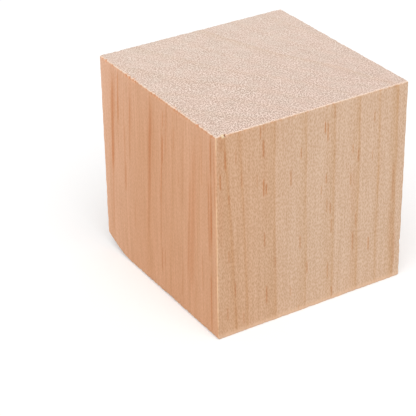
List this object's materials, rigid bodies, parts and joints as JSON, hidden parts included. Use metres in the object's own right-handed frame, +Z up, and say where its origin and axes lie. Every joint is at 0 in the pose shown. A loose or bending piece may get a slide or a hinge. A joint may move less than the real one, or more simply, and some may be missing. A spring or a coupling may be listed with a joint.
{
  "type": "wooden cube",
  "caption": "Solid cube of bare softwood with upright grain, sawn faces, eased arrises and a worn bottom corner.",
  "frame": {"origin": "middle of the underside, which the cube rests on", "axes": "+Z up along the grain, out of the upper end-grain face; -Y out of the front face; -X out of the left face"},
  "size_m": [0.05, 0.05, 0.05],
  "materials": {
    "softwood": "matte"
  },
  "bodies": {
    "root": {"block": "softwood"}
  },
  "joints": []
}
